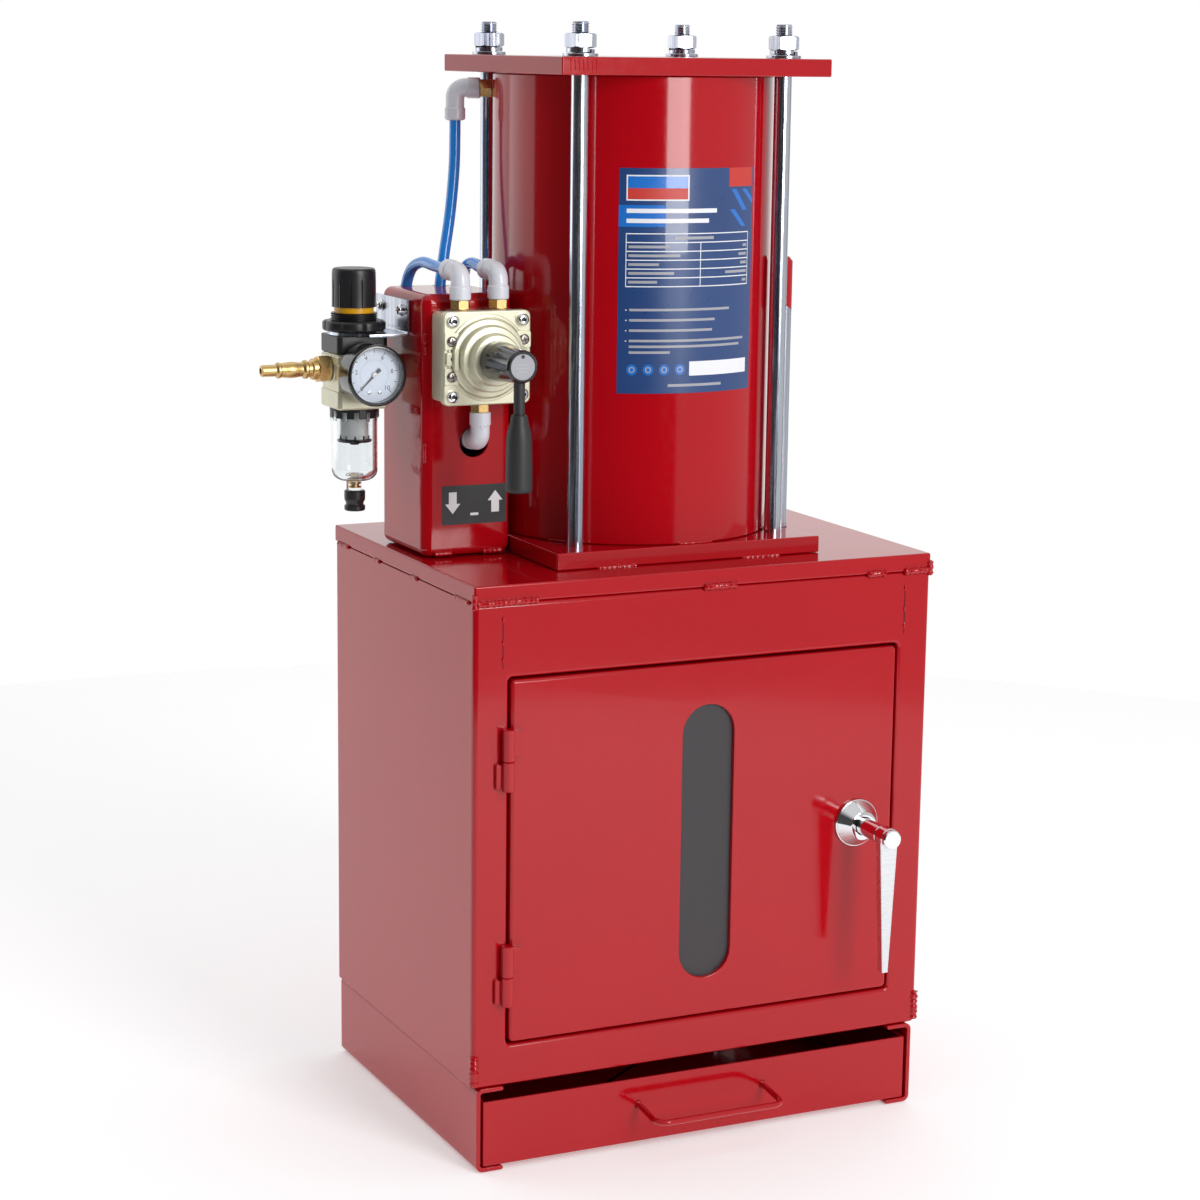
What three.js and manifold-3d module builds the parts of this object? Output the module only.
// Pneumatic paint-can crusher: a floor or bench cabinet press.
// Millimetres, +Z up, +X to the right, -Y is the front (door side).
// The design is drawn about the middle of the cabinet, and the finished group
// is shifted at the end so that its origin is the bottom centre of its box.
import * as THREE from 'three';
import { mergeVertices } from 'three/addons/utils/BufferGeometryUtils.js';
import Module from 'manifold-3d';

const wasm = await Module();
wasm.setup();

// ---------------------------------------------------------------- driving sizes
const GAP = 0.3;                 // clearance between touching pieces
const CABINET = { w: 350, d: 265, bottom: 60, top: 408, skin: 3 };
const PLATE_T = 12;              // heavy steel plate
const HALF_W = CABINET.w / 2;
const HALF_D = CABINET.d / 2;
const FRONT = -HALF_D;           // outer plane of the front frame
const RAIL = { x: 172, flange: 20, t: 3, h: 60, r: 5 };
const DOORWAY = { halfW: 150, z0: 89, z1: 345, skin: 4, lip: 21, lipT: 3 };
const FLOOR = { z0: 76, t: PLATE_T, holeR: 7, pitch: 60 };

const PRESS = { half: 101.5, base: 408, deck: 420, head: 738, top: 750, rodPitch: 77 };
const TUBE = { outer: 98.5, bore: 90 };
const TIE = { r: 6, top: 773, nutAF: 19, nutH: 9.7, nutZ: 755.6, springR: 9.6, flatR: 12 };
const GLAND = { outer: 30, bore: 20.5, flangeR: 38, flangeT: 10, top: 490, hole: 30.6 };
const RAM = { rodR: 20, spigotR: 12, pistonR: 89.4, piston0: 685, piston1: 725, stroke: 185 };
const PLATEN = { halfW: 138, y0: -98, y1: 122, z0: 340, t: 15, hubR: 32, hubH: 12 };
const GUIDE = { x: 93, y: -56, r: 6, top: 613, hole: 6.7 };

const BOX = { x0: -168, x1: -101.9, y0: -25, y1: 55.5, z0: 408.4, z1: 590, wall: 3, round: 7 };
const VALVE = { x: -131.5, z: 548.5, half: 32, back: -25.3, face: -50 };
const KNOB = { y0: -68.4, y1: -110, r0: 13.5, r1: 10.6 };
const LEVER = { y: -104, r: 3.8, top: 538.5, grip0: 516, grip1: 464, gripR: 9.2 };
const FITTING = { r: 7.3, brassAF: 12, reach: 22, bore: 4.3 };
const AIR_TUBE_R = 4;
const PORT_ANGLE = { upper: 25.5, lower: 60 };   // degrees behind the left side
const PORT_Z = { upper: 727, lower: 445 };

const REG = { x: -198, y: 29, half: 18.5, body0: 508.8, body1: 546.8, bonnet1: 559.3 };
const REG_PORT_Z = 536;
const GAUGE = { face: -16.5, r: 21.2, back: 5.5, z: 535 };
const BRACKET = { t: 2, z: 559.6, wallT: 2.2, y0: -2, y1: 59, top: 584.5 };
const INLET_TIP = -266;

const DOOR = { halfW: 148.5, z0: 90.8, z1: 343.3, front: -133.5, t: 3, lip: 14, lipT: 2 };
const WINDOW = { halfW: 20, z0: 118, z1: 314 };
const HINGE = { x: -152, y: -137, r: 4.2, pinR: 2, bore: 2.4, splits: [139, 289], up: 22, down: 20.5 };
const HANDLE = { x: 119, z: 217.5, coneR: 17, shaftR: 6.4, inner: -101.5, end: -185 };
const LEVER_BLADE = { y: -177, t: 6, tip: 119.5, root: 6.8, end: 2.8 };
const LATCH = { w: 18, h: 52, t: 4, round: 8, y: -102.8, rise: 17 };
const DRAWER = { halfW: 167, y0: -132, y1: 116, z0: 3.4, z1: 50, t: 2 };
const PULL = { half: 49, z: 31, reach: 32, droop: 3, r: 2.1, bend: 9 };

// ---------------------------------------------------------------- finishes
const finish = (color, roughness, metalness, opacity = 1) => new THREE.MeshStandardMaterial({
  color, roughness, metalness, opacity, transparent: opacity < 1,
});
const RED = finish(0xb0101c, 0.25, 0.1);
const ZINC = finish(0xc4c8cc, 0.3, 0.9);
const STEEL = finish(0x8d9196, 0.35, 0.9);
const CHROME = finish(0xe2e4e6, 0.08, 1);
const BRASS = finish(0xc79a4a, 0.3, 0.9);
const BRONZE = finish(0x9a6b3a, 0.4, 0.9);
const CHAMPAGNE = finish(0xb9b18f, 0.4, 0.6);
const ALUMINIUM = finish(0xb9bcc0, 0.35, 0.9);
const WHITE_PLASTIC = finish(0xe8e9ee, 0.35, 0);
const BLACK_PLASTIC = finish(0x17181a, 0.4, 0);
const RUBBER = finish(0x202123, 0.7, 0);
const BLUE_TUBE = finish(0x1672d8, 0.25, 0);
const CLEAR = finish(0xdfe8ea, 0.08, 0, 0.35);
const SMOKED = finish(0x3d3d3d, 0.3, 0);
const FILTER_WHITE = finish(0xf2f2f0, 0.7, 0);

// ---------------------------------------------------------------- shape helpers
const rad = THREE.MathUtils.degToRad;

/** A closed three.js geometry as a solid that can be cut and joined. */
function solid(geometry) {
  const bare = geometry.index ? geometry.toNonIndexed() : geometry.clone();
  bare.deleteAttribute('normal');
  bare.deleteAttribute('uv');
  const merged = mergeVertices(bare, 1e-4);
  const index = merged.index.array;
  const triangles = [];
  for (let i = 0; i < index.length; i += 3) {
    const [a, b, c] = [index[i], index[i + 1], index[i + 2]];
    if (a !== b && b !== c && c !== a) triangles.push(a, b, c);
  }
  return new wasm.Manifold(new wasm.Mesh({
    numProp: 3,
    vertProperties: new Float32Array(merged.attributes.position.array),
    triVerts: new Uint32Array(triangles),
  }));
}

/** A solid back as a three.js geometry. */
function shown(body) {
  const mesh = body.getMesh();
  const geometry = new THREE.BufferGeometry();
  geometry.setAttribute('position', new THREE.BufferAttribute(mesh.vertProperties, 3));
  geometry.setIndex(new THREE.BufferAttribute(mesh.triVerts, 1));
  return geometry;
}

const cut = (base, ...tools) => shown(tools.reduce((body, tool) => body.subtract(solid(tool)), solid(base)));
const join = (first, ...rest) => shown(rest.reduce((body, part) => body.add(solid(part)), solid(first)));

/** A box given by its limits. */
function block(x0, x1, y0, y1, z0, z1) {
  return new THREE.BoxGeometry(x1 - x0, y1 - y0, z1 - z0)
    .translate((x0 + x1) / 2, (y0 + y1) / 2, (z0 + z1) / 2);
}

/** A bar on the Z axis from z0 to z1; six sides make a hexagon. */
function bar(r, z0, z1, sides = 24, r1 = r) {
  return new THREE.CylinderGeometry(r1, r, z1 - z0, sides).rotateX(Math.PI / 2)
    .translate(0, 0, (z0 + z1) / 2);
}

const hexagon = (acrossFlats, z0, z1) => bar(acrossFlats / Math.sqrt(3), z0, z1, 6);

/** A turned shape on the Z axis from a profile of [radius, z] points. */
function turned(points, sides = 24) {
  const outline = points.map(([r, z]) => new THREE.Vector2(r, z));
  return new THREE.LatheGeometry(outline, sides).rotateX(Math.PI / 2);
}

/** A turned ring: the profile closes on itself. */
const ring = (inner, outer, z0, z1, sides = 32) => turned(
  [[inner, z0], [outer, z0], [outer, z1], [inner, z1], [inner, z0]], sides);

/** A rectangle outline with rounded corners. */
function roundedRect(w, h, r) {
  const shape = new THREE.Shape();
  const [x, y] = [w / 2, h / 2];
  shape.moveTo(-x + r, -y).lineTo(x - r, -y);
  shape.absarc(x - r, -y + r, r, -Math.PI / 2, 0);
  shape.lineTo(x, y - r);
  shape.absarc(x - r, y - r, r, 0, Math.PI / 2);
  shape.lineTo(-x + r, y);
  shape.absarc(-x + r, y - r, r, Math.PI / 2, Math.PI);
  shape.lineTo(-x, -y + r);
  shape.absarc(-x + r, -y + r, r, Math.PI, 1.5 * Math.PI);
  return shape;
}

/** A flat outline made thick along Z. */
const thick = (shape, depth, curveSegments = 4) => new THREE.ExtrudeGeometry(shape, {
  depth, curveSegments, bevelEnabled: false,
});

/** Turns a shape drawn on XY and made thick along Z so that it faces the front. */
const facingFront = (geometry, y) => geometry.rotateX(Math.PI / 2).translate(0, y, 0);

/** Lays a shape that was turned about Z along the front-to-back axis at (x, z). */
const alongY = (geometry, x, z) => geometry.rotateX(Math.PI / 2).translate(x, 0, z);

/** A round bar swept along a smooth curve. */
function swept(points, r, sides, step) {
  const path = new THREE.CatmullRomCurve3(points.map((p) => new THREE.Vector3(...p)), false, 'centripetal');
  const section = new THREE.Shape();
  section.absarc(0, 0, r, 0, 2 * Math.PI);
  const steps = Math.round(path.getLength() / step);
  return new THREE.ExtrudeGeometry(section, {
    extrudePath: path, steps, curveSegments: sides / 2, bevelEnabled: false,
  });
}

const machine = new THREE.Group();

/** Adds one named piece to a group. */
function add(name, geometry, material, group = machine) {
  const mesh = new THREE.Mesh(geometry, material);
  mesh.name = name;
  group.add(mesh);
  return mesh;
}

// ---------------------------------------------------------------- skid and cabinet
/** One C-section rail: the web stands outside, both flanges point inwards. */
function skidRail(side) {
  const { x, flange, t, h, r } = RAIL;
  const outline = new THREE.Shape();
  outline.moveTo(x - flange, 0).lineTo(x - r, 0);
  outline.absarc(x - r, r, r, -Math.PI / 2, 0);
  outline.lineTo(x, h - r);
  outline.absarc(x - r, h - r, r, 0, Math.PI / 2);
  outline.lineTo(x - flange, h).lineTo(x - flange, h - t).lineTo(x - r, h - t);
  outline.absarc(x - r, h - r, r - t, Math.PI / 2, 0, true);
  outline.lineTo(x - t, r);
  outline.absarc(x - r, r, r - t, 0, -Math.PI / 2, true);
  outline.lineTo(x - flange, t).lineTo(x - flange, 0);
  const geometry = facingFront(thick(outline, CABINET.d), HALF_D);
  return side > 0 ? geometry : geometry.rotateZ(Math.PI);
}

/** Front skin with the doorway, and a lip that runs round the doorway. */
function frontFrame() {
  const z0 = CABINET.bottom + GAP;
  const z1 = CABINET.top - PLATE_T - GAP;
  const { halfW, skin, lip, lipT } = DOORWAY;
  const skinPlate = block(-HALF_W, HALF_W, FRONT, FRONT + skin, z0, z1);
  const lipRing = block(-halfW - lipT, halfW + lipT, FRONT + 1, FRONT + skin + lip, DOORWAY.z0 - lipT,
    DOORWAY.z1 + lipT);
  const doorway = block(-halfW, halfW, FRONT - 1, FRONT + 40, DOORWAY.z0, DOORWAY.z1);
  const railStep = block(-halfW, halfW, FRONT - 1, FRONT + 40, z0 - 1, z0 + 4);
  return cut(join(skinPlate, lipRing), doorway, railStep);
}

/** Both sides and the back, folded from one sheet; a tongue closes the drawer space. */
function cabinetWrap() {
  const { skin } = CABINET;
  const y0 = FRONT + DOORWAY.skin + GAP;
  const z0 = CABINET.bottom + GAP;
  const z1 = CABINET.top - PLATE_T - GAP;
  const outer = block(-HALF_W, HALF_W, y0, HALF_D, z0, z1);
  const inner = block(-HALF_W + skin, HALF_W - skin, y0 - 1, HALF_D - skin, z0 - 1, z1 + 1);
  const inside = RAIL.x - RAIL.flange - 2;
  const tongue = block(-inside, inside, HALF_D - skin, HALF_D, DRAWER.z0 + 2, z0 + 5);
  return join(cut(outer, inner), tongue);
}

/** Thick floor of the crushing chamber, drilled so that spilled paint drains. */
function chamberFloor() {
  const inset = CABINET.skin + GAP;
  const outline = new THREE.Shape();
  const [x, y0, y1] = [HALF_W - inset, FRONT + DOORWAY.skin + DOORWAY.lip + GAP, HALF_D - inset];
  outline.moveTo(-x, y0).lineTo(x, y0).lineTo(x, y1).lineTo(-x, y1).lineTo(-x, y0);
  for (let column = -2; column <= 2; column += 1) {
    for (let row = -1; row <= 1; row += 1) {
      const hole = new THREE.Path();
      hole.absarc(column * FLOOR.pitch, row * FLOOR.pitch + 10, FLOOR.holeR, 0, 2 * Math.PI, true);
      outline.holes.push(hole);
    }
  }
  return thick(outline, FLOOR.t, 4).translate(0, 0, FLOOR.z0);
}

for (const side of [-1, 1]) {
  add(side < 0 ? 'skid_rail_left' : 'skid_rail_right', skidRail(side), RED);
}
add('front_frame', frontFrame(), RED);
add('cabinet_wrap', cabinetWrap(), RED);
add('chamber_floor', chamberFloor(), RED);
add('cabinet_top_plate', cut(
  block(-HALF_W, HALF_W, FRONT, HALF_D, CABINET.top - PLATE_T, CABINET.top),
  bar(GLAND.hole, 390, 412),
  bar(GUIDE.hole, 390, 412, 16).translate(GUIDE.x, GUIDE.y, 0),
), RED);

// ---------------------------------------------------------------- press: plates, tube, tie rods
const tieRods = [
  ['front_left', -1, -1], ['front_right', 1, -1], ['rear_left', -1, 1], ['rear_right', 1, 1],
];
const atTieRod = (geometry, sx, sy) => geometry.translate(sx * PRESS.rodPitch, sy * PRESS.rodPitch, 0);
const tieHoles = (z0, z1) => tieRods.map(([, sx, sy]) => atTieRod(bar(TIE.r + 0.5, z0, z1, 16), sx, sy));

add('press_base_plate', cut(
  block(-PRESS.half, PRESS.half, -PRESS.half, PRESS.half, PRESS.base + GAP, PRESS.deck),
  bar(GLAND.hole, 400, 425),
  bar(GUIDE.hole, 400, 425, 16).translate(GUIDE.x, GUIDE.y, 0),
  ...tieHoles(400, 425),
), RED);
add('cylinder_tube', ring(TUBE.bore, TUBE.outer, PRESS.deck + GAP, PRESS.head - GAP, 56), RED);
add('press_top_plate', cut(
  block(-PRESS.half, PRESS.half, -PRESS.half, PRESS.half, PRESS.head, PRESS.top),
  ...tieHoles(730, 755),
), RED);

/** Hexagon nut standing on its spring washer and flat washer. */
function nutStack() {
  const bore = bar(TIE.r + 0.4, PRESS.top - 1, TIE.nutZ + TIE.nutH + 1, 12);
  const flat = bar(TIE.flatR, PRESS.top + 0.1, PRESS.top + 2.1, 16);
  const spring = bar(TIE.springR, PRESS.top + 2, TIE.nutZ + 0.1, 16);
  const nut = hexagon(TIE.nutAF, TIE.nutZ, TIE.nutZ + TIE.nutH);
  return cut(join(flat, spring, nut), bore);
}

for (const [corner, sx, sy] of tieRods) {
  const [foot, top] = [PRESS.base + 2, TIE.top];
  const rod = turned([[0, foot], [TIE.r, foot], [TIE.r, top - 1], [TIE.r - 1, top], [0, top]], 20);
  add(`tie_rod_${corner}`, atTieRod(rod, sx, sy), ZINC);
  add(`tie_nut_${corner}`, atTieRod(nutStack(), sx, sy), ZINC);
}

const glandFlange = PRESS.deck + GAP;
add('rod_gland', turned([
  [GLAND.bore, 397], [GLAND.outer, 397], [GLAND.outer, glandFlange], [GLAND.flangeR, glandFlange],
  [GLAND.flangeR, glandFlange + GLAND.flangeT], [GLAND.outer, glandFlange + GLAND.flangeT],
  [GLAND.outer, GLAND.top], [GLAND.bore, GLAND.top], [GLAND.bore, 397],
]), BRONZE);

// ---------------------------------------------------------------- ram: piston, rod, platen, guide rod
const seal = { z0: 700, z1: 710, depth: 6 };
const spigotHole = RAM.spigotR + 0.4;
add('piston', turned([
  [spigotHole, RAM.piston0], [RAM.pistonR - 2, RAM.piston0], [RAM.pistonR, RAM.piston0 + 2],
  [RAM.pistonR, seal.z0], [RAM.pistonR - seal.depth, seal.z0], [RAM.pistonR - seal.depth, seal.z1],
  [RAM.pistonR, seal.z1], [RAM.pistonR, RAM.piston1 - 2], [RAM.pistonR - 2, RAM.piston1],
  [spigotHole, RAM.piston1], [spigotHole, RAM.piston0],
], 36), ALUMINIUM);
add('piston_seal', ring(
  RAM.pistonR - seal.depth + GAP, TUBE.bore - GAP, seal.z0 + GAP, seal.z1 - GAP, 36), RUBBER);
const platenTop = PLATEN.z0 + PLATEN.t;
add('piston_rod', turned([
  [0, platenTop + GAP], [RAM.rodR, platenTop + GAP], [RAM.rodR, RAM.piston0 - GAP],
  [RAM.spigotR, RAM.piston0 - GAP], [RAM.spigotR, RAM.piston1 + GAP], [RAM.rodR - 2, RAM.piston1 + GAP],
  [RAM.rodR - 2, RAM.piston1 + 9], [0, RAM.piston1 + 9],
]), CHROME);
add('platen', cut(
  join(
    thick(roundedRect(2 * PLATEN.halfW, PLATEN.y1 - PLATEN.y0, 6), PLATEN.t)
      .translate(0, (PLATEN.y0 + PLATEN.y1) / 2, PLATEN.z0),
    bar(PLATEN.hubR, platenTop - 1, platenTop + PLATEN.hubH),
  ),
  bar(RAM.rodR + GAP + 0.1, platenTop, platenTop + PLATEN.hubH + 1, 32),
), STEEL);
add('guide_rod', turned([
  [0, platenTop + GAP], [GUIDE.r, platenTop + GAP], [GUIDE.r, GUIDE.top - 3], [GUIDE.r - 2.6, GUIDE.top],
  [0, GUIDE.top],
], 20).translate(GUIDE.x, GUIDE.y, 0), ZINC);

// ---------------------------------------------------------------- control box
const boxMid = { x: (BOX.x0 + BOX.x1) / 2, y: (BOX.y0 + BOX.y1) / 2 };
const supplyHole = { y: REG.y, z: REG_PORT_Z };
const valveHole = { x: VALVE.x + 1, z: 488, r: 10.8 };
const returnHole = { x: -115, z: 448 };
const topHoles = [[-152.8, 45.5], [-129.5, 40.1], [-115, 33]];

/** Round-edged box with an open base and the holes that the tubes go through. */
function controlBox() {
  const { x0, x1, y0, y1, z0, z1, round, wall } = BOX;
  const tubeHole = AIR_TUBE_R + 1.2;
  const bevel = { bevelEnabled: true, bevelThickness: round, bevelSize: round, bevelSegments: 2 };
  const outline = roundedRect(x1 - x0 - 2 * round, y1 - y0 - 2 * round, 0.6);
  const depth = z1 - z0 - 2 * round;
  const shell = new THREE.ExtrudeGeometry(outline, { depth, curveSegments: 2, ...bevel })
    .translate(boxMid.x, boxMid.y, z0 + round);
  const inside = block(x0 + wall, x1 - wall, y0 + wall, y1 - wall, z0 + wall, z1 - wall);
  const base = block(x0 + 15, x1 - 15, y0 + 15, y1 - 15, z0 - 1, z0 + wall + 1);
  const front = alongY(bar(valveHole.r, -5, 5, 20), valveHole.x, valveHole.z).translate(0, y0, 0);
  const left = bar(tubeHole, -5, 5, 16).rotateY(Math.PI / 2).translate(x0, supplyHole.y, supplyHole.z);
  const back = alongY(bar(tubeHole, -5, 5, 16), returnHole.x, returnHole.z).translate(0, y1, 0);
  const tops = topHoles.map(([x, y]) => bar(tubeHole, z1 - 5, z1 + 1, 16).translate(x, y, 0));
  return cut(shell, inside, base, front, left, back, ...tops);
}
add('control_box', controlBox(), RED);

// ---------------------------------------------------------------- hand valve
/** Square cast body with stepped round boss, its axis along Y. */
function valveBody() {
  const depth = VALVE.back - VALVE.face;
  const body = facingFront(thick(roundedRect(2 * VALVE.half, 2 * VALVE.half, 4), depth), VALVE.back)
    .translate(VALVE.x, 0, VALVE.z);
  const steps = [[27, -49, -53.5], [22.5, -53, -60], [17.5, -59.5, KNOB.y0 + GAP]];
  const bosses = steps.map(([r, y0, y1]) => alongY(bar(r, -y0, -y1, 28), VALVE.x, VALVE.z));
  return join(body, ...bosses);
}
add('valve_body', valveBody(), CHAMPAGNE);

/** Knob, turned about the valve axis: it tapers towards the front. */
function valveKnob() {
  const knob = alongY(turned([
    [0, -KNOB.y0], [KNOB.r0, -KNOB.y0], [KNOB.r0, -KNOB.y0 + 8], [KNOB.r1, -KNOB.y1 - 1.5],
    [KNOB.r1 - 1.5, -KNOB.y1], [0, -KNOB.y1],
  ], 28), VALVE.x, VALVE.z);
  const socket = bar(LEVER.r + GAP, LEVER.top - 5, VALVE.z - 4, 16).translate(VALVE.x, LEVER.y, 0);
  return cut(knob, socket);
}
add('valve_knob', valveKnob(), BLACK_PLASTIC);
const { grip0: gripTop, grip1: gripEnd, gripR } = LEVER;
const gripBore = { r: LEVER.r + GAP, z: gripEnd + 11.6 };
add('valve_lever', bar(LEVER.r, gripEnd + 12, VALVE.z - 4.4, 16).translate(VALVE.x, LEVER.y, 0), STEEL);
add('valve_grip', turned([
  [gripBore.r, gripTop], [gripBore.r, gripBore.z], [0, gripBore.z], [0, gripEnd], [gripR - 3, gripEnd],
  [gripR, gripEnd + 4], [gripR - 0.6, gripTop - 12], [5.6, gripTop], [gripBore.r, gripTop],
], 24).translate(VALVE.x, LEVER.y, 0), BLACK_PLASTIC);

// ---------------------------------------------------------------- push-in elbows
/** Elbow fitting: stem up +Z from the port, leg out along +X at height rise. */
function elbow(rise, brassLength) {
  const stem = hexagon(FITTING.brassAF, 0, brassLength + 0.1);
  const body = bar(FITTING.r, brassLength, rise, 20);
  const corner = new THREE.SphereGeometry(FITTING.r, 20, 10).rotateX(Math.PI / 2).translate(0, 0, rise);
  const leg = bar(FITTING.r, 0, FITTING.reach, 20).rotateY(Math.PI / 2).translate(0, 0, rise);
  const bore = bar(FITTING.bore, FITTING.reach - 4, FITTING.reach + 1, 16).rotateY(Math.PI / 2)
    .translate(0, 0, rise);
  return cut(join(stem, body, corner, leg), bore);
}

const legDepth = FITTING.reach - 4 + GAP;
const valveTop = VALVE.z + VALVE.half + 0.2;
const topElbow = { rise: 25.3, y: -38, left: -146.5, right: -118.5 };
for (const side of ['left', 'right']) {
  const mesh = add(`valve_elbow_${side}`, elbow(topElbow.rise, 6.5), WHITE_PLASTIC);
  mesh.position.set(topElbow[side], topElbow.y, valveTop);
  mesh.rotation.z = Math.PI / 2;
}
const lowElbow = { rise: 26.4, z: VALVE.z - VALVE.half - 0.2 };
const supplyElbow = add('valve_elbow_supply', elbow(lowElbow.rise, 6), WHITE_PLASTIC);
supplyElbow.position.set(VALVE.x, topElbow.y, lowElbow.z);
supplyElbow.rotation.set(Math.PI, 0, -Math.PI / 2);

/** Direction that a cylinder port points in, seen from above. */
const portDirection = (angle) => [-Math.cos(rad(angle)), Math.sin(rad(angle))];
const portRise = 26.1;
/** Elbow screwed into the cylinder wall, with its leg turned to legDirection. */
function portElbow(name, angle, z, legDirection) {
  const [x, y] = portDirection(angle);
  const stem = new THREE.Vector3(x, y, 0);
  const leg = new THREE.Vector3(...legDirection);
  const basis = new THREE.Matrix4().makeBasis(leg, stem.clone().cross(leg), stem);
  const mesh = add(name, elbow(portRise, 8.5), WHITE_PLASTIC);
  mesh.quaternion.setFromRotationMatrix(basis);
  mesh.position.set(x * (TUBE.outer + GAP), y * (TUBE.outer + GAP), z);
}
const lowerLeg = [-Math.sin(rad(PORT_ANGLE.lower)), -Math.cos(rad(PORT_ANGLE.lower)), 0];
portElbow('cylinder_elbow_upper', PORT_ANGLE.upper, PORT_Z.upper, [0, 0, -1]);
portElbow('cylinder_elbow_lower', PORT_ANGLE.lower, PORT_Z.lower, lowerLeg);

// ---------------------------------------------------------------- air tubes
const [upX, upY] = portDirection(PORT_ANGLE.upper).map((n) => n * (TUBE.outer + GAP + portRise));
const [lowX, lowY] = portDirection(PORT_ANGLE.lower).map((n) => n * (TUBE.outer + GAP + portRise));
const topLegZ = valveTop + topElbow.rise;
const lowLegZ = lowElbow.z - lowElbow.rise;
const upperTubeRoute = [
  [upX, upY, PORT_Z.upper - legDepth], [upX, upY, 695], [-113.6, 53, 672], [-118.5, 48.6, 640],
  [-125, 43.4, 612], [-129.5, 40.1, 590], [-130, 41, 572], [-123.5, 45, 552], [-116.5, 46.5, 532],
  [-119, 46.5, 512], [-131, 46.5, 500], [-146, 46.5, 506], [-154, 46.5, 524], [-154.5, 46.3, 550],
  [-152.8, 45.5, 590], [-151.4, 38.5, 602.5], [-149.5, 24, 608], [-147.5, 8, 607],
  [topElbow.left, -6, topLegZ], [topElbow.left, topElbow.y + legDepth, topLegZ],
];
const lowerTubeRoute = [
  [topElbow.right, topElbow.y + legDepth, topLegZ], [topElbow.right, -8, topLegZ], [-117.8, 10, 608],
  [-116.4, 25, 603.5], [-115, 33, 590], [-112.6, 32, 570], [-110.4, 29, 545], [-110, 27, 515],
  [-110.2, 28, 485], [-111, 33, 464], [-113, 43, 450.5], [returnHole.x, 55.5, returnHole.z],
  [-114.3, 69, 446.5], [-107, 80.5, 445.2],
  [lowX + lowerLeg[0] * (legDepth + 12), lowY + lowerLeg[1] * (legDepth + 12), PORT_Z.lower],
  [lowX + lowerLeg[0] * legDepth, lowY + lowerLeg[1] * legDepth, PORT_Z.lower],
];
const supplyTubeRoute = [
  [REG.x + REG.half + 4.3, REG.y, REG_PORT_Z], [-163, REG.y, REG_PORT_Z], [-146, 28.8, 535], [-133, 28, 528],
  [-126, 26.5, 515], [-125, 23, 503], [-127.5, 14, 493.5], [-131, 2, lowLegZ + 0.4],
  [VALVE.x, -8, lowLegZ], [VALVE.x, topElbow.y + legDepth, lowLegZ],
];
add('air_tube_upper', swept(upperTubeRoute, AIR_TUBE_R, 8, 9), BLUE_TUBE);
add('air_tube_lower', swept(lowerTubeRoute, AIR_TUBE_R, 8, 9), BLUE_TUBE);
add('air_tube_supply', swept(supplyTubeRoute, AIR_TUBE_R, 8, 7), BLUE_TUBE);

// ---------------------------------------------------------------- filter regulator, in its own group
const regulator = new THREE.Group();
regulator.position.set(REG.x, REG.y, 0);
machine.add(regulator);
const collar = { r: 16.2, top: 574.7, ringR: 13, ringTop: 578 };
const knobR = 15.5;
const knobZ = { bottom: 578.4, top: 605, skirt: 583.4 };

/** Cast body with the outlet boss, the inlet seat and the gauge port drilled in. */
function regulatorBody() {
  const { half, body0, body1 } = REG;
  const atPorts = (geometry) => geometry.rotateY(Math.PI / 2).translate(0, 0, REG_PORT_Z);
  const cast = thick(roundedRect(2 * half, 2 * half, 3), body1 - body0).translate(0, 0, body0);
  const boss = atPorts(bar(8.5, half - 1, half + 8, 20));
  const outlet = atPorts(bar(FITTING.bore, half + 4, half + 9, 16));
  const inlet = atPorts(bar(6.6, -half - 1, -half + 8, 16));
  const bowlSeat = bar(13.8, body0 - 1, body0 + 8, 24);
  return cut(join(cast, boss), outlet, inlet, bowlSeat);
}
add('regulator_body', regulatorBody(), CHAMPAGNE, regulator);
const bonnetFoot = REG.body1 + GAP;
add('regulator_bonnet', cut(join(
  thick(roundedRect(2 * REG.half, 2 * REG.half, 4), REG.bonnet1 - bonnetFoot).translate(0, 0, bonnetFoot),
  bar(collar.r, REG.bonnet1 - 1, collar.top, 32),
  bar(collar.ringR, collar.top - 1, collar.ringTop, 32),
), bar(4.7, 562, 580, 16)), BLACK_PLASTIC, regulator);

/** L bracket: a shelf round the regulator's neck, turned up against the box wall. */
function regulatorBracket() {
  const reach = BOX.x0 - GAP - REG.x;
  const halfY = (BRACKET.y1 - BRACKET.y0) / 2;
  const midY = (BRACKET.y1 + BRACKET.y0) / 2 - REG.y;
  const shelf = new THREE.Shape();
  shelf.moveTo(reach, midY - halfY).lineTo(reach, midY + halfY).lineTo(2, midY + 23);
  shelf.absarc(0, midY, 22.5, rad(80), rad(280));
  shelf.lineTo(2, midY - 23).lineTo(reach, midY - halfY);
  const neck = new THREE.Path();
  neck.absarc(0, 0, collar.r + 0.5, 0, 2 * Math.PI, true);
  shelf.holes.push(neck);
  const flat = thick(shelf, BRACKET.t, 8).translate(0, 0, BRACKET.z);
  const upright = block(
    reach - BRACKET.wallT, reach, midY - halfY, midY + halfY, BRACKET.z + 0.5, BRACKET.top);
  return join(flat, upright);
}
add('regulator_bracket', regulatorBracket(), ZINC, regulator);
const ringNut = cut(hexagon(38, 562, 569), bar(collar.r + 0.4, 560, 571, 32));
add('regulator_ring_nut', ringNut, BLACK_PLASTIC, regulator);
add('adjusting_screw', bar(4, 563, 597.5, 16), BRASS, regulator);
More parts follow.
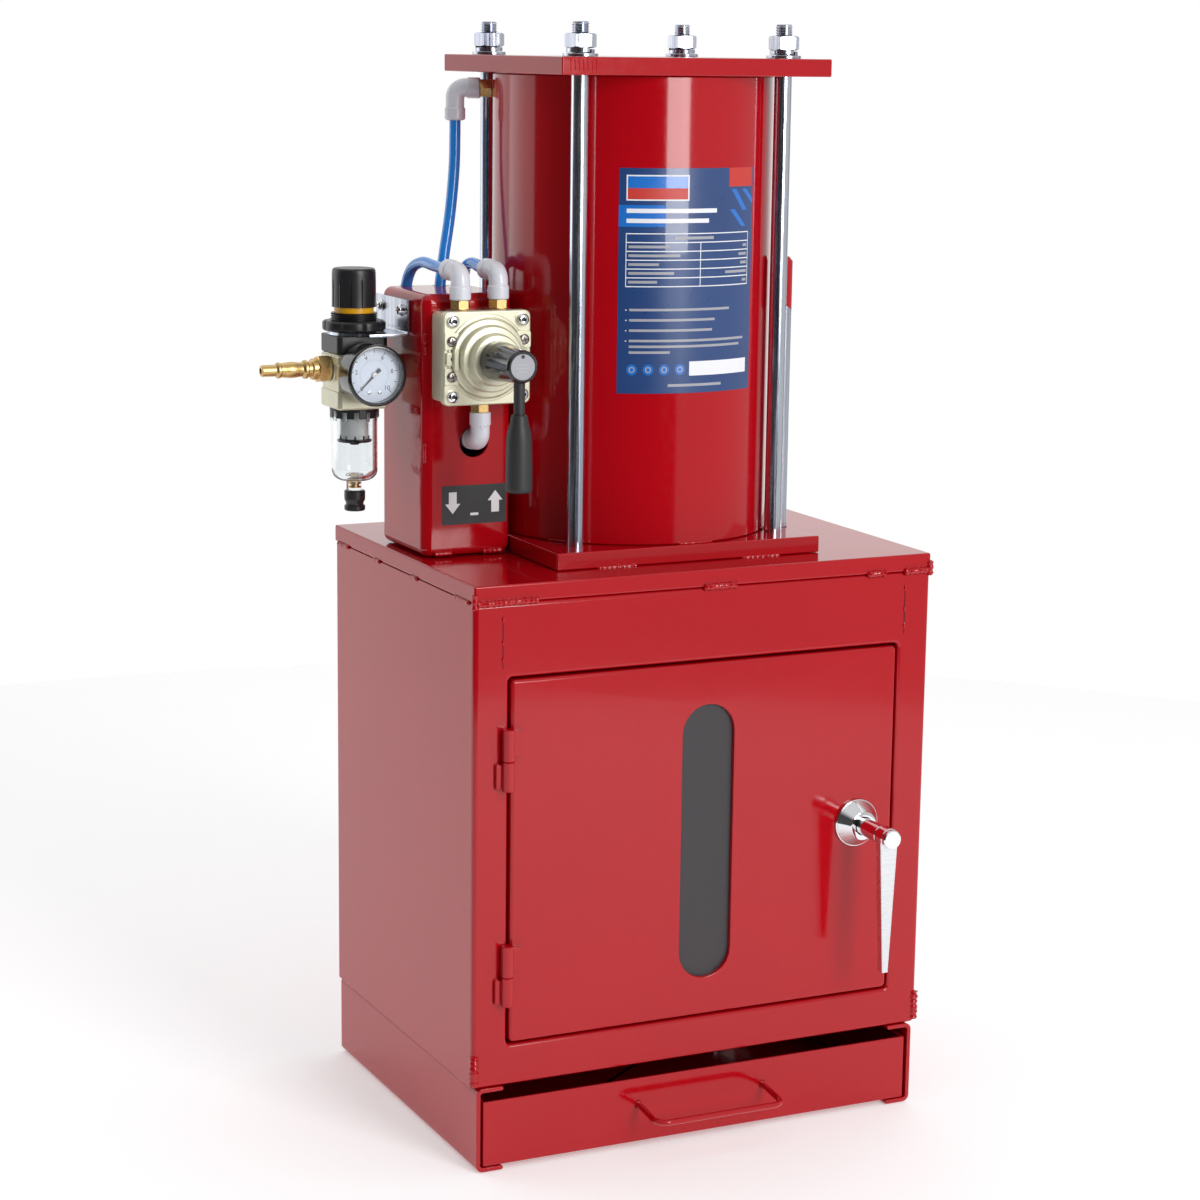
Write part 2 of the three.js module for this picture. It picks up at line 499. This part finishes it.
add('regulator_knob', cut(
  turned([
    [0, knobZ.bottom], [knobR, knobZ.bottom], [knobR, knobZ.top - 2], [knobR - 2, knobZ.top], [0, knobZ.top],
  ], 36),
  bar(collar.ringR + 0.6, knobZ.bottom - 1, knobZ.skirt, 32),
  bar(4.5, knobZ.bottom, 601.5, 16),
), BLACK_PLASTIC, regulator);

// The pressure gauge looks to the front.
const gaugeY = GAUGE.face - REG.y;
const gaugeBack = GAUGE.back - REG.y;
add('gauge_case', alongY(turned([
  [0, -gaugeBack - 6], [0, -gaugeY - 6.6], [GAUGE.r - 2, -gaugeY - 6.6], [GAUGE.r - 2, -gaugeY],
  [GAUGE.r, -gaugeY], [GAUGE.r, -gaugeBack + 3], [GAUGE.r - 3, -gaugeBack], [6, -gaugeBack],
  [6, REG.half + GAP], [0, REG.half + GAP],
].reverse(), 28), 0, GAUGE.z), BLACK_PLASTIC, regulator);
const gaugeLens = alongY(bar(GAUGE.r - 2.3, -gaugeY - 2.4, -gaugeY - 0.8, 32), 0, GAUGE.z);
add('gauge_lens', gaugeLens, CLEAR, regulator);

/** Pointer with a hub, set to the low end of the dial. */
function gaugeNeedle() {
  const pointer = new THREE.Shape();
  pointer.moveTo(-1.3, -6).lineTo(1.3, -6).lineTo(0.8, 0).lineTo(0.3, 14.5);
  pointer.lineTo(-0.3, 14.5).lineTo(-0.8, 0);
  const flat = facingFront(thick(pointer, 0.8), gaugeY + 4.8);
  const hub = alongY(bar(1.8, -gaugeY - 6, -gaugeY - 3.4, 16), 0, 0);
  return join(flat, hub).rotateY(rad(-135)).translate(0, 0, GAUGE.z);
}
add('gauge_needle', gaugeNeedle(), BLACK_PLASTIC, regulator);

const bowl = { r: 16, top: 508.5, foot: 457.5, wall: 2, neckR: 5.8, neckEnd: 450.6 };
add('filter_bowl', turned([
  [0, bowl.neckEnd], [bowl.neckR, bowl.neckEnd], [bowl.neckR, bowl.foot], [bowl.r - 5, bowl.foot],
  [bowl.r - 1.2, bowl.foot + 3], [bowl.r, bowl.foot + 8], [bowl.r, bowl.top], [bowl.r - bowl.wall, bowl.top],
  [bowl.r - bowl.wall, bowl.foot + 9], [bowl.r - 3.6, bowl.foot + 4.6], [bowl.r - 6, bowl.foot + 3],
  [0, bowl.foot + 3],
]), CLEAR, regulator);
add('filter_element', turned([
  [0, 482.5], [9, 482.5], [11.5, 484], [11.5, 487], [10, 487.2], [10, 514], [0, 514],
], 24), FILTER_WHITE, regulator);
add('drain_knob', turned([
  [0, 436], [7.3, 436], [7.3, 440], [6.1, 441], [6.1, 444], [7.3, 445], [7.3, 450.2], [0, 450.2],
], 24), BLACK_PLASTIC, regulator);

/** Quick-coupler nipple on the air inlet, turned about X and pointing left. */
function inletNipple() {
  const start = REG.half;
  const tip = REG.x - INLET_TIP;
  const plug = turned([
    [2.6, start - 7], [6.2, start - 7], [6.2, start + 0.6], [8, start + 0.6], [8, start + 12],
    [5.6, start + 14], [4.9, tip - 22], [5.6, tip - 17], [5.6, tip - 13], [3.9, tip - 12], [3.9, tip - 1],
    [3.4, tip], [2.2, tip], [2.2, start + 4], [2.6, start - 7],
  ], 24);
  const nut = hexagon(17, start + GAP, start + 10);
  const bore = bar(2.2, start - 8, start + 11, 16);
  return cut(join(plug, nut), bore).rotateY(-Math.PI / 2).translate(0, 0, REG_PORT_Z);
}
add('inlet_nipple', inletNipple(), BRASS, regulator);

// ---------------------------------------------------------------- door
/** Folded door tray with the sight slot and the spindle hole. */
function doorPanel() {
  const { halfW, z0, z1, front, t, lip, lipT } = DOOR;
  const tray = block(-halfW, halfW, front, front + lip, z0, z1);
  const inside = block(-halfW + lipT, halfW - lipT, front + t, front + lip + 1, z0 + lipT, z1 - lipT);
  const slotShape = roundedRect(2 * WINDOW.halfW, WINDOW.z1 - WINDOW.z0, WINDOW.halfW - 0.01);
  const slot = facingFront(thick(slotShape, 12, 8), front + 8).translate(0, 0, (WINDOW.z0 + WINDOW.z1) / 2);
  const spindle = alongY(bar(HANDLE.shaftR + 0.5, 100, 150, 20), HANDLE.x, HANDLE.z);
  return cut(tray, inside, slot, spindle);
}
add('door_panel', doorPanel(), RED);
add('door_window', block(
  -WINDOW.halfW - 9, WINDOW.halfW + 9, DOOR.front + DOOR.t + GAP, DOOR.front + DOOR.t + 3.3,
  WINDOW.z0 - 9, WINDOW.z1 + 9,
), SMOKED);

/** Frame half of a weld-on hinge: lower barrel, pin and stub on the post. */
function hingeFrameHalf(split) {
  const barrel = bar(HINGE.r, split - HINGE.down, split - 0.15, 20);
  const pin = bar(HINGE.pinR, split - 1, split + HINGE.up - 4, 12);
  const stub = block(-8, 0, 1.6, -HINGE.y + FRONT - GAP, split - HINGE.down + 2, split - 2.5);
  return join(barrel, pin, stub).translate(HINGE.x, HINGE.y, 0);
}
/** Door half: upper barrel, bored for the pin, and a leaf on the door. */
function hingeDoorHalf(split) {
  const barrel = bar(HINGE.r, split + 0.15, split + HINGE.up, 20);
  const leaf = block(0, 11, 0.4, DOOR.front - HINGE.y - GAP, split + 2.5, split + HINGE.up - 2);
  const bore = bar(HINGE.bore, split - 1, split + HINGE.up - 3, 12);
  return cut(join(barrel, leaf), bore).translate(HINGE.x, HINGE.y, 0);
}
['lower', 'upper'].forEach((place, i) => {
  add(`hinge_frame_half_${place}`, hingeFrameHalf(HINGE.splits[i]), RED);
  add(`hinge_door_half_${place}`, hingeDoorHalf(HINGE.splits[i]), RED);
});

const door = -DOOR.front;
add('handle_rosette', alongY(turned([
  [HANDLE.shaftR + 0.5, door + GAP], [HANDLE.coneR, door + GAP], [HANDLE.coneR, door + 2],
  [HANDLE.coneR - 4, door + 5], [10, door + 12], [HANDLE.shaftR + 0.5, door + 12],
  [HANDLE.shaftR + 0.5, door + GAP],
], 36), HANDLE.x, HANDLE.z), CHROME);

/** Turned shaft with a flat tapering lever hanging from its outer end. */
function doorHandle() {
  const shaft = alongY(turned([
    [0, -HANDLE.inner], [HANDLE.shaftR, -HANDLE.inner], [HANDLE.shaftR, -HANDLE.end - 13],
    [HANDLE.shaftR + 0.8, -HANDLE.end - 12], [HANDLE.shaftR + 0.8, -HANDLE.end - 1],
    [HANDLE.shaftR, -HANDLE.end], [0, -HANDLE.end],
  ], 28), HANDLE.x, HANDLE.z);
  const { y, t, tip, root, end } = LEVER_BLADE;
  const blade = new THREE.Shape();
  blade.moveTo(-root, 0).lineTo(-end, tip - HANDLE.z).lineTo(end, tip - HANDLE.z).lineTo(root, 0);
  const lever = facingFront(thick(blade, t), y + t / 2).translate(HANDLE.x, 0, HANDLE.z);
  return join(shaft, lever);
}
add('door_handle', doorHandle(), CHROME);
add('latch_cam', cut(
  facingFront(thick(roundedRect(LATCH.w, LATCH.h, LATCH.round), LATCH.t), LATCH.y)
    .translate(HANDLE.x, 0, HANDLE.z + LATCH.rise),
  alongY(bar(HANDLE.shaftR + 0.3, 90, 130, 20), HANDLE.x, HANDLE.z),
), ZINC);

// ---------------------------------------------------------------- paint drawer
const { halfW: dw, y0: dy0, y1: dy1, z0: dz0, z1: dz1, t: dt } = DRAWER;
add('drawer_tray', cut(
  block(-dw, dw, dy0, dy1, dz0, dz1),
  block(-dw + dt, dw - dt, dy0 + dt, dy1 - dt, dz0 + dt, dz1 + 1),
), RED);
const [px, pz, py] = [PULL.half, PULL.z, DRAWER.y0];
const pullOut = py - PULL.reach;
const pullLow = pz - PULL.droop;
add('drawer_handle', swept([
  [-px, py - GAP, pz], [-px, py - 8, pz - 0.6], [-px, pullOut + PULL.bend, pullLow + 0.4],
  [-px + 2.6, pullOut + 2.6, pullLow], [-px + PULL.bend, pullOut, pullLow], [0, pullOut, pullLow],
  [px - PULL.bend, pullOut, pullLow], [px - 2.6, pullOut + 2.6, pullLow],
  [px, pullOut + PULL.bend, pullLow + 0.4], [px, py - 8, pz - 0.6], [px, py - GAP, pz],
], PULL.r, 8, 5), RED);

// ---------------------------------------------------------------- origin: bottom centre of the box
const bounds = new THREE.Box3().setFromObject(machine);
const centre = bounds.getCenter(new THREE.Vector3());
machine.position.set(-centre.x, -centre.y, -bounds.min.z);

export default machine;
